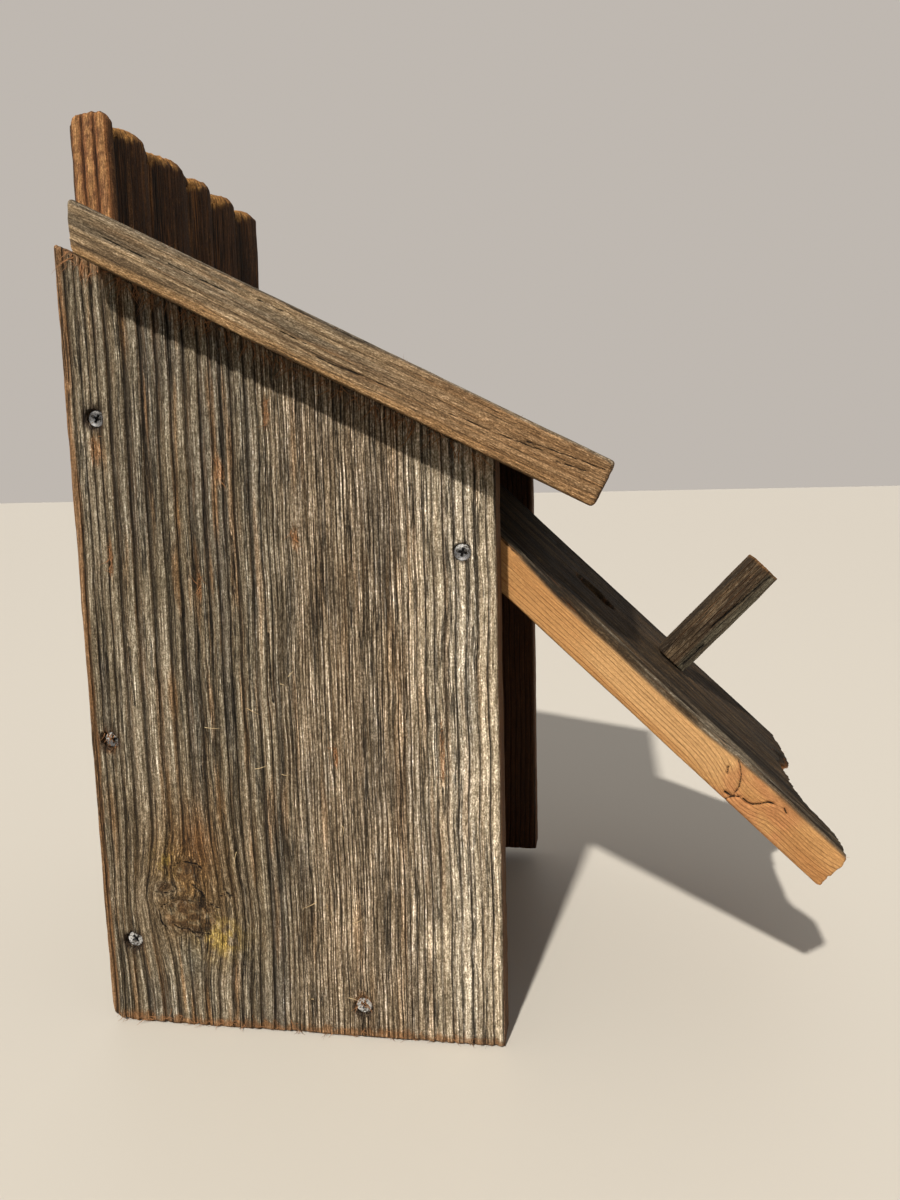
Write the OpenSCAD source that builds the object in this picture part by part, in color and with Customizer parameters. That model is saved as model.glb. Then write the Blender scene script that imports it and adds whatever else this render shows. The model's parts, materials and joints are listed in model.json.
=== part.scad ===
// Slope-roofed birdhouse of rough weathered boards, with a front that swings out on two screws.
// The origin is the middle of the footprint, on the plane that the box stands on.
// +Z is up and -Y is the front, so the left side is at -X.

/* [Box] */
// Width across the outer faces of the two sides
outer_w = 252; // [200:1:320]
// Depth of the sides, from the rear edge to the front edge
depth = 212; // [180:1:260]
// Height of the sides at their rear edge
rear_h = 402; // [380:1:440]
// Thickness of every board
board_t = 22; // [18:0.5:24]
// How far the right side stops short of the base
right_short = 9; // [0:0.5:9]
// Fall of the roof towards the front, in degrees
slope = 27; // [22:0.5:30]

/* [Back board] */
// Height of the back board, which stands up behind the roof
back_h = 466; // [450:1:520]
// Depth of the worn grooves between the ribs of its front face
groove_depth = 4; // [1:0.5:6]
// Radius of each groove
groove_r = 9; // [7:0.5:12]

/* [Roof] */
// Overhang of the roof past each side
roof_side = 24; // [10:1:40]
// Overhang of the roof's lower arris past the front edges
roof_front = 45; // [38:1:70]

/* [Door] */
// How far the door stands open, in degrees from closed
open_angle = 46.5; // [0:0.5:90]
// Gap between the door and each side
door_gap = 1.5; // [1:0.1:3]
// Height of the pivot above the base
pivot_z = 250.5; // [245:0.5:252]
// Distance of the pivot behind the door's outer face
pivot_in = 16.5; // [14:0.5:17]
// Length of the door above the pivot
door_above = 40; // [30:0.5:40]
// Length of the door below the pivot
door_below = 240; // [225:0.5:242]
// Diameter of the entrance hole
entrance_d = 32; // [25:1:38]
// Distance of the entrance hole's centre below the pivot
entrance_drop = 68; // [60:1:76]

/* [Perch] */
// Width of the square perch
perch_w = 19; // [16:0.5:24]
// Length of the perch in front of the door
perch_l = 76; // [50:1:90]
// Distance of the perch's axis below the pivot
perch_drop = 128; // [118:1:140]

/* [Screws] */
// Diameter of the wood screws
screw_d = 4; // [3.5:0.1:4.2]
// Diameter of the pivot screws
pivot_d = 4.4; // [4:0.1:4.8]
// Diameter of the countersunk heads
head_d = 8.4; // [8:0.1:9]
// Length of the screws through two boards
screw_l = 45; // [40:1:48]
// Length of the perch screw
perch_screw_l = 40; // [35:1:45]

/* [Hidden] */
$fn = 48;
SIDES = ["left", "right"];
BACK_SCREW_COUNT = 3;
ROOF_SCREW_COUNT = 2;

// Colours of the weathered and the fresh wood, and of the zinc-plated screws
GREY_WOOD = [0.47, 0.43, 0.37];
ROOF_WOOD = [0.55, 0.47, 0.37];
BROWN_WOOD = [0.38, 0.24, 0.13];
FRESH_WOOD = [0.80, 0.58, 0.34];
PERCH_WOOD = [0.42, 0.36, 0.28];
ZINC = [0.72, 0.73, 0.74];

over = 1;                                   // how far a cutting tool passes the face it cuts
snug = 0.05;                                // radial gap round a screw
head_gap = 0.25;                            // radial gap round a screw's head
sink = 0.8;                                 // how far the heads lie below the wood
edge_relief = 0.8;                          // how far each perch corner is taken off
tip_l = 5;                                  // length of a screw's pointed end
recess_w = 1.1;                             // width of the cross recess in a head
recess_d = 1.8;                             // depth of the cross recess

inner_w = outer_w - 2 * board_t;
door_w = inner_w - 2 * door_gap;
rear_y = depth / 2;
front_y = -depth / 2;
pivot_y = front_y + pivot_in;
floor_gap = 1.5;                            // between the floor's front edge and the closed door
rib_ends = [10, 48, 98, 133, 173];          // grooves of the back board, from its left edge

// Height and distance from the rear edge of each screw in a side
BACK_SCREWS = [[318, 14.5], [155, 10], [46, 15]];
FLOOR_SCREW = [17, 139];
ROOF_SCREWS = [58, 168];                    // distances from the rear edge, on the roof's underside

// Height of the roof's underside at a distance d forward of the sides' rear edge
function under(d) = rear_h - d * tan(slope);

// Moves a part of the closed door to where it stands open
module swing() {
    translate([0, pivot_y, pivot_z])
        rotate([-open_angle, 0, 0])
            translate([0, -pivot_y, -pivot_z])
                children();
}

// Puts children, drawn along -Z from the outer face of a board, into side s (-1 left, 1 right)
module into_side(s, z, back) {
    translate([s * outer_w / 2, rear_y - back, z])
        rotate([0, s * 90, 0])
            children();
}

// Puts children, drawn along -Z, into the roof over side s, square to the slope
module into_roof(s, back) {
    translate([s * (outer_w - board_t) / 2, rear_y - back, under(back)])
        rotate([slope, 0, 0])
            translate([0, 0, board_t])
                children();
}

// Puts children, drawn along -Z, into the closed door from its inner face, on the perch's axis
module into_door_back() {
    translate([0, front_y + board_t, pivot_z - perch_drop])
        rotate([-90, 0, 0])
            children();
}

// Countersunk wood screw along -Z, its face at z = 0 or, with recess true, sunk below it
module screw(d, length) {
    cone_h = (head_d - d) / 2;
    translate([0, 0, -sink])
        difference() {
            rotate_extrude()
                polygon([
                    [0, 0], [head_d / 2, 0], [d / 2, -cone_h], [d / 2, -length + tip_l], [0, -length]
                ]);
            for (a = [0, 90])
                rotate([0, 0, a])
                    translate([-head_d / 4, -recess_w / 2, -recess_d])
                        cube([head_d / 2, recess_w, recess_d + over]);
        }
}

// Hole for that screw, with the countersink for its head
module screw_hole(d, length) {
    r = d / 2 + snug;
    hr = head_d / 2 + head_gap;
    rotate_extrude()
        polygon([
            [0, over], [hr, over], [hr, -sink], [r, -sink - hr + r], [r, -length - over],
            [0, -length - over]
        ]);
}

// Every hole that a side has, cut from side s
module side_holes(s) {
    for (p = BACK_SCREWS)
        into_side(s, p[0], p[1]) screw_hole(screw_d, screw_l);
    into_side(s, FLOOR_SCREW[0], FLOOR_SCREW[1]) screw_hole(screw_d, screw_l);
    into_side(s, pivot_z, depth - pivot_in) screw_hole(pivot_d, screw_l);
    for (back = ROOF_SCREWS)
        into_roof(s, back) screw_hole(screw_d, screw_l);
}

// Side board, with its top cut to the slope of the roof; the right one is cut shorter
module side(s) {
    foot = s > 0 ? right_short : 0;
    color(GREY_WOOD)
        difference() {
            translate([s > 0 ? inner_w / 2 : -outer_w / 2, 0, 0])
                rotate([90, 0, 90])
                    linear_extrude(board_t)
                        polygon([
                            [front_y, foot], [rear_y, foot], [rear_y, under(0)], [front_y, under(depth)]
                        ]);
            side_holes(s);
        }
}

// Back board between the sides, with worn grooves down its front face
module back_board() {
    color(BROWN_WOOD)
        difference() {
            translate([-inner_w / 2, rear_y - board_t, 0])
                cube([inner_w, board_t, back_h]);
            for (x = rib_ends)
                translate([x - inner_w / 2, rear_y - board_t - groove_r + groove_depth, -over])
                    cylinder(r = groove_r, h = back_h + 2 * over);
            for (s = [-1, 1], p = BACK_SCREWS)
                into_side(s, p[0], p[1]) screw_hole(screw_d, screw_l);
        }
}

// Floor between the sides, flush with their lower edges
module floor_board() {
    floor_d = depth - 2 * board_t - floor_gap;
    color(GREY_WOOD)
        difference() {
            translate([-inner_w / 2, rear_y - board_t - floor_d, 0])
                cube([inner_w, floor_d, board_t]);
            for (s = [-1, 1])
                into_side(s, FLOOR_SCREW[0], FLOOR_SCREW[1]) screw_hole(screw_d, screw_l);
        }
}

// Roof board, cut plumb where it meets the back board and square at its lower end
module roof_board() {
    reach = depth + roof_front;
    roof_w = outer_w + 2 * roof_side;
    rear_top = under(board_t) + board_t / cos(slope);
    color(ROOF_WOOD)
        difference() {
            translate([-roof_w / 2, 0, 0])
                rotate([90, 0, 90])
                    linear_extrude(roof_w)
                        polygon([
                            [rear_y - board_t, under(board_t)],
                            [rear_y - board_t, rear_top],
                            [rear_y - reach - board_t * sin(slope), under(reach) + board_t * cos(slope)],
                            [rear_y - reach, under(reach)]
                        ]);
            for (s = [-1, 1], back = ROOF_SCREWS)
                into_roof(s, back) screw_hole(screw_d, screw_l);
        }
}

// Front board: a door that turns on the pivot screws, with the entrance hole through it
module front_door() {
    color(FRESH_WOOD)
        swing()
            difference() {
                translate([-door_w / 2, front_y, pivot_z - door_below])
                    cube([door_w, board_t, door_below + door_above]);
                translate([0, front_y - over, pivot_z - entrance_drop])
                    rotate([-90, 0, 0])
                        cylinder(d = entrance_d, h = board_t + 2 * over);
                for (s = [-1, 1])
                    into_side(s, pivot_z, depth - pivot_in) screw_hole(pivot_d, screw_l);
                into_door_back() screw_hole(screw_d, perch_screw_l);
            }
}

// Square stick below the entrance, with its corners eased
module perch() {
    a = perch_w / 2;
    b = a - edge_relief;
    color(PERCH_WOOD)
        swing()
            difference() {
                translate([0, front_y, pivot_z - perch_drop])
                    rotate([90, 0, 0])
                        linear_extrude(perch_l)
                            polygon([[a, b], [b, a], [-b, a], [-a, b], [-a, -b], [-b, -a], [b, -a], [a, -b]]);
                into_door_back() screw_hole(screw_d, perch_screw_l);
            }
}

// Screw that holds the perch, driven from inside the door
module perch_screw() {
    color(ZINC) swing() into_door_back() screw(screw_d, perch_screw_l);
}

// Screw that the door turns on, through side s
module pivot_screw(s) {
    color(ZINC) swing() into_side(s, pivot_z, depth - pivot_in) screw(pivot_d, screw_l);
}

// Screw through side s into the floor's end
module floor_screw(s) {
    color(ZINC) into_side(s, FLOOR_SCREW[0], FLOOR_SCREW[1]) screw(screw_d, screw_l);
}

// Screw i, counted from the top, through side s into the back board's edge
module back_screw(s, i) {
    color(ZINC) into_side(s, BACK_SCREWS[i][0], BACK_SCREWS[i][1]) screw(screw_d, screw_l);
}

// Screw i, counted from the rear, through the roof into side s
module roof_screw(s, i) {
    color(ZINC) into_roof(s, ROOF_SCREWS[i]) screw(screw_d, screw_l);
}

side(-1);  // left_side
side(1);  // right_side
back_board();
floor_board();
roof_board();
front_door();
perch();
perch_screw();
for (k = [0, 1]) {
    s = 2 * k - 1;
    pivot_screw(s);
    floor_screw(s);
    for (i = [1:BACK_SCREW_COUNT])
        back_screw(s, i - 1);
    for (i = [1:ROOF_SCREW_COUNT])
        roof_screw(s, i - 1);
}
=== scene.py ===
import json
import math
import bpy
import numpy as np
from mathutils import Matrix, Vector


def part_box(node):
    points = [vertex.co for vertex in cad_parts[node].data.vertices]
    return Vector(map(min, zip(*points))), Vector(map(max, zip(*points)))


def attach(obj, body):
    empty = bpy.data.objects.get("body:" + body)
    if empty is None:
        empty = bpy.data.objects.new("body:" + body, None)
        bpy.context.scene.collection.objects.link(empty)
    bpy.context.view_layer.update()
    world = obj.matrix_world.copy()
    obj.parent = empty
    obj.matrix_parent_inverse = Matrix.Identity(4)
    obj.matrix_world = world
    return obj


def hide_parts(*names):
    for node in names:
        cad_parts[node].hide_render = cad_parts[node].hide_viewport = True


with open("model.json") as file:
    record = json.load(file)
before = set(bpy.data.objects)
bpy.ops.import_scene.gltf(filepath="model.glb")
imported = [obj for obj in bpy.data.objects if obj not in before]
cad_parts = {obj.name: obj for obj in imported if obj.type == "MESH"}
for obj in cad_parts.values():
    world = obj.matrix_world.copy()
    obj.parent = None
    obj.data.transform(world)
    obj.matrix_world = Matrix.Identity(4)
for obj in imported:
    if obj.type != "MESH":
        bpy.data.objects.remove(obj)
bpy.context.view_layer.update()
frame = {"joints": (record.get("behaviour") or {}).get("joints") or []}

MM = 0.001
SLOPE = math.radians(27)  # fall of the roof
OPEN = math.radians(46.5)  # how far the door stands open
SINK = 0.8  # how far the screw heads lie below the wood
HEAD_R = 4.2
HOLE_R = 4.45
SHANK_HOLE_R = 2.05
HOLE_DEPTH = 24.0


# ---- numbers, noise and colours
def mm_box(node):
    """Lowest and highest corner of a CAD node, in millimetres."""
    lo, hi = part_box(node)
    return np.array(lo) / MM, np.array(hi) / MM


def smooth(x, lo, hi):
    """0 below lo, 1 above hi, and a smooth step between."""
    f = np.clip((x - lo) / (hi - lo), 0, 1)
    return f * f * (3 - 2 * f)


def band(x, lo, hi, soft):
    """1 between lo and hi, falling to 0 over soft outside."""
    return smooth(x, lo - soft, lo) * (1 - smooth(x, hi, hi + soft))


def glow(x, y, at, size):
    """1 at a place, fading to 0 over size in each direction."""
    return np.exp(-((x - at[0]) / size[0]) ** 2 - ((y - at[1]) / size[1]) ** 2)


def noise(seed, *coords):
    """Smooth noise from 0 to 1 over one to three coordinate arrays, one cell to a unit."""
    side = 64 if len(coords) < 3 else 32
    table = np.random.default_rng(seed).random((side,) * len(coords))
    cells = [np.floor(c).astype(int) for c in coords]
    parts = [c - i for c, i in zip(coords, cells)]
    parts = [f * f * (3 - 2 * f) for f in parts]
    total = 0
    for corner in range(2 ** len(coords)):
        bits = [corner >> axis & 1 for axis in range(len(coords))]
        weight = 1
        for bit, f in zip(bits, parts):
            weight = weight * (f if bit else 1 - f)
        total = total + weight * table[tuple((i + b) % side for i, b in zip(cells, bits))]
    return total


def fractal(seed, *coords, octaves=3):
    """Noise with finer octaves added, from 0 to 1."""
    total = 0
    for k in range(octaves):
        total = total + noise(seed + k, *[c * 2 ** k for c in coords]) / 2 ** k
    return total / (2 - 2 ** (1 - octaves))


def srgb(r, g, b):
    """Linear colour of an 8-bit display colour."""
    c = np.array([r, g, b], float) / 255
    return np.where(c < 0.04045, c / 12.92, ((c + 0.055) / 1.055) ** 2.4)


def layered(tone, *coats):
    """tone with each (colour, mask) laid over it in turn. A tuple is an 8-bit display colour."""
    tone, *colours = [srgb(*c) if isinstance(c, tuple) else c for c in (tone, *(c for c, _ in coats))]
    for colour, (_, mask) in zip(colours, coats):
        tone = tone + (colour - tone) * np.asarray(mask)[..., None]
    return tone


# ---- meshes
def add_object(name, data, place=Matrix()):
    """New object in the scene, at a place in metres."""
    obj = bpy.data.objects.new(name, data)
    obj.matrix_world = place
    bpy.context.scene.collection.objects.link(obj)
    return obj


def make_mesh(name, points, faces, material, smooth_faces=True):
    """Object with these points in millimetres, its normals facing out."""
    mesh = bpy.data.meshes.new(name)
    mesh.from_pydata((np.asarray(points) * MM).tolist(), [], [list(f) for f in faces])
    mesh.validate()
    mesh.update()
    mesh.polygons.foreach_set("use_smooth", [smooth_faces] * len(mesh.polygons))
    if material:
        mesh.materials.append(material)
    return add_object(name, mesh)


def lattice(*lines):
    """Closed grid over the six faces of a box, from three sets of lines, as points and outward quads."""
    shape = tuple(len(x) for x in lines)
    index = np.indices(shape)
    edge = np.zeros(shape, bool)
    for axis in range(3):
        edge |= (index[axis] == 0) | (index[axis] == shape[axis] - 1)
    ids = np.full(shape, -1)
    ids[edge] = np.arange(edge.sum())
    points = np.stack([lines[axis][index[axis][edge]] for axis in range(3)], 1)
    quads = []
    for axis in range(3):
        for side in (0, shape[axis] - 1):
            g = np.take(ids, side, axis)
            q = np.stack([g[:-1, :-1], g[1:, :-1], g[1:, 1:], g[:-1, 1:]], -1).reshape(-1, 4)
            flip = (side == 0) != (axis == 1)
            quads.append(q[:, ::-1] if flip else q)
    return points, np.concatenate(quads)


def spaced(length, step, arris):
    """Lines from 0 to length, close together near both ends.

    step is one step, or pairs of a place and the step up to it.
    """
    near = arris * np.array([0, 0.15, 0.35, 0.62])
    inner = [arris]
    while inner[-1] < length - arris:
        at = inner[-1]
        inner.append(at + (step if isinstance(step, float) else next(s for end, s in step if at < end)))
    inner = np.array(inner)
    inner = arris + (inner - arris) * (length - 2 * arris) / (inner[-1] - arris)
    return np.concatenate([near, inner, length - near[::-1]])


def rounded(points, size, radius):
    """Points of a box's surface with its arrises rounded by radius, and their normals."""
    r = radius[:, None]
    inner = np.clip(points, r, np.asarray(size) - r)
    d = points - inner
    n = d / np.maximum(np.linalg.norm(d, axis=1), 1e-9)[:, None]
    return inner + n * r, n


def lathe(profile, segments, jitter=0.0, seed=0):
    """Closed surface of revolution about t from (radius, t) pairs that start and end at radius 0."""
    rng = np.random.default_rng(seed)
    rings = profile[1:-1]
    angles = np.arange(segments) * 2 * math.pi / segments
    wobble = 1 + jitter * (rng.random(segments) - 0.5)
    points = [[0, 0, profile[0][1]]]
    for r, t in rings:
        points += [[r * w * math.cos(a), r * w * math.sin(a), t] for a, w in zip(angles, wobble)]
    points.append([0, 0, profile[-1][1]])
    faces = []
    last = len(points) - 1
    for k in range(segments):
        n = (k + 1) % segments
        faces.append((0, 1 + n, 1 + k))
        for j in range(len(rings) - 1):
            b = 1 + j * segments
            faces.append((b + k, b + n, b + segments + n, b + segments + k))
        b = 1 + (len(rings) - 1) * segments
        faces.append((b + k, b + n, last))
    return np.array(points, float), faces


def joined(parts):
    """Points and faces of several meshes as one."""
    points, faces, start = [], [], 0
    for p, f in parts:
        points.append(np.asarray(p, float))
        faces += [tuple(int(i) + start for i in face) for face in f]
        start += len(p)
    return np.concatenate(points), faces


def outward(points, faces):
    """The faces, turned so that the closed mesh's volume is positive."""
    v = points
    total = 0.0
    for f in faces:
        for k in range(1, len(f) - 1):
            total += np.dot(v[f[0]], np.cross(v[f[k]], v[f[k + 1]]))
    return faces if total > 0 else [tuple(f[::-1]) for f in faces]


def cut(obj, parts):
    """Cuts closed meshes, each (points, faces) in millimetres, out of obj."""
    cutter = make_mesh("cutter", *joined([(p, outward(p, f)) for p, f in parts]), None)
    m = obj.modifiers.new("cut", "BOOLEAN")
    m.operation = "DIFFERENCE"
    m.solver = "EXACT"
    m.object = cutter
    bpy.context.view_layer.update()
    done = bpy.data.meshes.new_from_object(obj.evaluated_get(bpy.context.evaluated_depsgraph_get()))
    obj.modifiers.clear()
    obj.data = done
    bpy.data.objects.remove(cutter)


def hole_at(a, l, seed, sink=SINK, rim=HOLE_R, r=SHANK_HOLE_R):
    """Cutter for a countersunk screw hole driven into the face t = 0 at (a, l), with a torn rim."""
    cone = rim - r
    profile = [(0, -3), (rim, -3), (rim, sink), (r, sink + cone), (r, HOLE_DEPTH), (0, HOLE_DEPTH)]
    points, faces = lathe(profile, 22, 0.12, seed)
    return points + [a, l, 0], faces


# ---- materials
class Nodes:
    """Short ways to build the nodes of a material or world."""

    def __init__(self, owner, shader="Principled BSDF"):
        owner.use_nodes = True
        self.owner = owner
        self.tree = owner.node_tree
        self.shader = self.tree.nodes[shader]

    def feed(self, node, values):
        """Sets or links a node's inputs, by name or number."""
        for key, value in values.items():
            if isinstance(value, bpy.types.NodeSocket):
                self.tree.links.new(value, node.inputs[key])
            else:
                node.inputs[key].default_value = value

    def add(self, kind, values, output=0, **settings):
        """Adds a node, feeds it, and returns one of its outputs."""
        node = self.tree.nodes.new("ShaderNode" + kind)
        for key, value in settings.items():
            setattr(node, key, value)
        self.feed(node, values)
        return node.outputs[output]

    def math(self, op, a, b=0.0):
        return self.add("Math", {0: a, 1: b}, operation=op)

    def times(self, a, *others):
        for b in others:
            a = self.math("MULTIPLY", a, b)
        return a

    def plus(self, a, *others):
        for b in others:
            a = self.math("ADD", a, b)
        return a

    def swing(self, value, *weights):
        """How far a noise value is from its middle, times the weights."""
        return self.times(self.math("SUBTRACT", value, 0.5), *weights)

    def attribute(self, name, output="Fac"):
        return self.add("Attribute", {}, output, attribute_name=name)

    def vector(self, *xyz):
        return self.add("CombineXYZ", dict(enumerate(xyz)))

    def noise(self, vector, scale, detail=3.0, rough=0.55):
        values = {"Vector": vector, "Scale": scale, "Detail": detail, "Roughness": rough}
        return self.add("TexNoise", values, "Fac")

    def ramp(self, value, lo, hi, out_lo=0.0, out_hi=1.0, how="SMOOTHSTEP"):
        values = {"Value": value, "From Min": lo, "From Max": hi, "To Min": out_lo, "To Max": out_hi}
        return self.add("MapRange", values, "Result", interpolation_type=how)

    def mix(self, factor, a, b, how="MIX"):
        a, b = [(*c, 1.0) if isinstance(c, (tuple, np.ndarray)) else c for c in (a, b)]
        return self.add("Mix", {0: factor, 6: a, 7: b}, 2, data_type="RGBA", blend_type=how)

    def faded(self, value):
        """A grey that turns brown as it darkens and cool as it brightens."""
        powers = enumerate((1.0, 1.07, 1.2))
        return self.add("CombineColor", {k: self.math("POWER", value, power) for k, power in powers})

    def bump(self, height, strength, distance):
        normal = self.add("Bump", {"Height": height, "Strength": strength, "Distance": distance * MM})
        self.feed(self.shader, {"Normal": normal})


def new_material(name):
    return Nodes(bpy.data.materials.new(name))


# groove and dark set the strength and colour of the dark grain lines, which also carry painted shade in the
# grooves
def wood(name, groove=0.85, fibre=1.0, checks=0.8, warm=0.35, pale=0.3, dark=(24, 17, 11),
         warm_tint=(146, 98, 54), pale_tint=(190, 180, 160), rough=0.85, bump=0.9):
    """Wood from the values that dress() stores. Distances across, along and through the grain are in mm."""
    g = new_material(name)
    across, along, through = (g.attribute(n) for n in ("across", "along", "through"))

    def grain(stretch, scale, detail=3.0, roughness=0.6):
        return g.noise(g.vector(across, g.times(along, stretch), through), scale, detail, roughness)

    bare = g.attribute("bare")
    threads = g.attribute("thread")
    worn = g.math("SUBTRACT", 1.0, g.times(bare, 0.55))
    fine = grain(0.22, 1.15, 3.0, 0.75)
    strand = grain(0.035, 1.25, 3.0, 0.62)
    grit = grain(0.65, 1.5, 2.0)
    thread = grain(0.016, 1.45, 2.0)
    patch = grain(0.3, 0.05)
    # Light and dark fibres
    lift = g.plus(g.swing(fine, 3.8), g.swing(strand, 1.7), g.swing(grit, 3.0), g.swing(thread, threads, 5.0))
    lift = g.plus(g.times(lift, worn, fibre), g.swing(patch, 0.4))
    shade = g.times(g.math("POWER", 2.9, lift), 0.77)
    colour = g.mix(1.0, g.attribute("tone", "Color"), g.faded(shade), "MULTIPLY")
    # wave is 0 on the crest of a ring and 0.5 in the groove: warm flanks, pale dust with a painted highlight
    # on the crests, and dark grain lines with painted shade in the grooves
    wave = g.math("ABSOLUTE", g.swing(g.math("FRACT", g.attribute("ring"))))
    line = g.times(g.ramp(wave, 0.36, 0.49), g.attribute("lines"))
    flank = g.times(g.ramp(wave, 0.12, 0.3), g.ramp(strand, 0.44, 0.62), g.ramp(patch, 0.35, 0.6), warm)
    # pale dust on the crests, partly a painted highlight
    dust_and_highlight = g.times(g.ramp(fine, 0.52, 0.7), g.ramp(wave, 0.34, 0.12), g.math("SUBTRACT", 1.0, bare), pale)
    broken = g.ramp(grain(0.02, 0.35, 2.0), 0.3, 0.55, 0.35, 1.0)
    colour = g.mix(flank, colour, srgb(*warm_tint))
    colour = g.mix(dust_and_highlight, colour, srgb(*pale_tint))
    # dark grain lines, with painted shade in the grooves
    colour = g.mix(g.times(line, broken, groove), colour, srgb(*dark))
    # Drying cracks, painted near black as the shade inside them
    seam = g.ramp(g.math("ABSOLUTE", g.swing(grain(0.03, 0.42))), 0.035, 0.008)
    seam = g.times(seam, g.ramp(grain(0.05, 0.16, 1.0), 0.45, 0.55), g.attribute("crack"), checks)
    jagged = g.plus(g.attribute("split"), g.swing(fine, 0.5))
    gap = g.math("MAXIMUM", seam, g.ramp(jagged, 0.6, 0.2))
    height = g.plus(g.times(fine, 1.1), g.times(strand, 0.9), g.times(thread, threads, 1.6))
    height = g.times(g.plus(height, g.times(grit, 0.5)), worn)
    height = g.plus(height, g.times(line, -0.8), g.times(gap, -1.4))
    # the near black of the cracks is painted shade
    g.feed(g.shader, {"Base Color": g.mix(gap, colour, srgb(12, 8, 5)), "Specular IOR Level": 0.25,
                      "Roughness": g.ramp(fine, 0.3, 0.7, rough - 0.1, min(rough + 0.1, 1.0))})
    g.bump(height, bump, 0.75)
    return g.owner


def fibre_wood(name, colour, other):
    """Torn fibres, whose colour varies from fibre to fibre."""
    g = new_material(name)
    n = g.noise(g.vector(g.attribute("across"), 0.0, 0.0), 0.7, 2.0)
    tone = g.mix(g.ramp(n, 0.35, 0.65), srgb(*colour), srgb(*other))
    g.feed(g.shader, {"Base Color": tone, "Roughness": 0.8})
    return g.owner


def zinc():
    """Bright zinc plate, a little dulled and scratched."""
    g = new_material("zinc")
    n = g.noise(g.add("TexCoord", {}, "Object"), 900.0)
    plate = g.mix(g.ramp(n, 0.4, 0.65), srgb(222, 225, 230), srgb(98, 93, 86))
    # the cross recesses are painted dark as shade
    g.feed(g.shader, {"Base Color": g.mix(g.attribute("recess_shade"), plate, srgb(30, 26, 22)), "Metallic": 1.0,
                      "Roughness": g.ramp(n, 0.3, 0.7, 0.16, 0.42)})
    g.bump(n, 0.3, 0.05)
    return g.owner


# ---- wood
WANDERS = [(1.0, 130, 160), (0.35, 38, 50), (0.16, 13, 7)]  # share of the wander, cell along and across
UNEVEN = 0.5  # how much the ring widths vary
GRID_STEP = 0.25


class Grain:
    """Where the growth rings run in a board: across (a), along (l) and through (t), in millimetres."""

    def __init__(self, seed, widths, knots=(), tilt=0.35, wander=1.6):
        self.seed = seed
        self.knots = knots
        self.tilt = tilt
        self.wander = wander
        self.grid = np.arange(-60.0, 420.0, GRID_STEP)
        at, period = np.array(widths, float).T
        rate = 1 / np.interp(self.grid, at, period)
        rate = rate * (1 + UNEVEN * (noise(seed + 1, self.grid / 13) * 2 - 1))
        self.count = np.cumsum(rate) * GRID_STEP

    def bent(self, a, l, t):
        """The across coordinate with its bends taken out, the knot mask, and the distance in knot radii."""
        s = a + self.tilt * t
        for k, (share, along, across) in enumerate(WANDERS):
            s = s + share * self.wander * (2 * noise(self.seed + 2 + k, l / along, a / across) - 1)
        core = np.zeros_like(a)
        reach = np.full_like(a, 9.0)
        for ka, kl, ra, rl, pull in self.knots:
            near = glow(a, l, (ka, kl), (ra * 1.9, rl * 2.6))
            s = s - (a - ka) * pull * near
            s = s + 3.5 * near * (fractal(self.seed + 6, a / 11, l / 14) - 0.5)
            r = np.sqrt(((a - ka) / ra) ** 2 + ((l - kl) / rl) ** 2)
            r = r * (0.85 + 0.3 * fractal(self.seed + 7, a / 8, l / 8))
            reach = np.minimum(reach, r)
            core = np.maximum(core, 1 - smooth(r, 0.8, 1.1))
        return s, core, reach

    def read(self, p):
        """Bent across coordinate, ring number, knot mask and distance in knot radii at points p."""
        a, l, t = p.T
        s, core, reach = self.bent(a, l, t)
        ring = np.interp(s, self.grid, self.count)
        rings_in_knot = reach * 1.5 + 1.2 * fractal(self.seed + 9, a / 8, l / 8)
        return s, ring * (1 - core) + rings_in_knot * core, core, reach


def skewed(ring, crest=0.7):
    """Ring numbers bent so that each ridge rises slowly to a crest and falls steeply after it."""
    whole = np.floor(ring)
    u = ring - whole
    return whole + np.where(u < crest, 0.5 * u / crest, 1 - 0.5 * (1 - u) / (1 - crest))


def ridge(ring, sharp=0.75):
    """Depth of a weathered surface: 0 on the crest of a ring and 1 in the groove between two."""
    return 1 - np.abs(np.sin(math.pi * ring)) ** sharp


def line_distance(x, y, lines, far=4.0):
    """Distance in mm from points (x, y) to the nearest of some polylines, up to far."""
    best = np.full(len(x), far)
    wobble = 0.9 * (fractal(7, x / 3.5, y / 3.5) - 0.5)
    for line in lines:
        for (x0, y0), (x1, y1) in zip(line[:-1], line[1:]):
            dx, dy = x1 - x0, y1 - y0
            f = np.clip(((x - x0) * dx + (y - y0) * dy) / (dx * dx + dy * dy), 0, 1)
            best = np.minimum(best, np.hypot(x - x0 - f * dx + wobble, y - y0 - f * dy + wobble))
    return best


def gouge(distance, depth, width):
    """Depth of a crack at a distance from its line."""
    return depth * np.exp(-(distance / width) ** 2)


def by_face(n, outer, inner, sides, ends):
    """Depth at points with normals n, from those of the outer and inner face, the sides and the ends."""
    return (outer * np.maximum(-n[:, 2], 0) + inner * np.maximum(n[:, 2], 0) + sides * np.abs(n[:, 0])
            + ends * np.abs(n[:, 1]))


def dress(obj, values):
    """Stores the per-point values that the materials read."""
    for name, v in values.items():
        plain = v.ndim == 1
        layer = obj.data.attributes.new(name, "FLOAT" if plain else "FLOAT_COLOR", "POINT")
        if not plain:
            v = np.concatenate([np.clip(v, 0, 1), np.ones((len(v), 1))], 1)
        layer.data.foreach_set("value" if plain else "color", v.astype(np.float32).ravel())


def coords(obj):
    """The mesh's points in mm."""
    co = np.zeros(len(obj.data.vertices) * 3, np.float32)
    obj.data.vertices.foreach_get("co", co)
    return co.reshape(-1, 3).astype(float) / MM


def settle(obj, place):
    """Carries a mesh from board coordinates to its place."""
    obj.data.transform(place)
    if place.determinant() < 0:
        obj.data.flip_normals()
    obj.data.update()
    return obj


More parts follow.
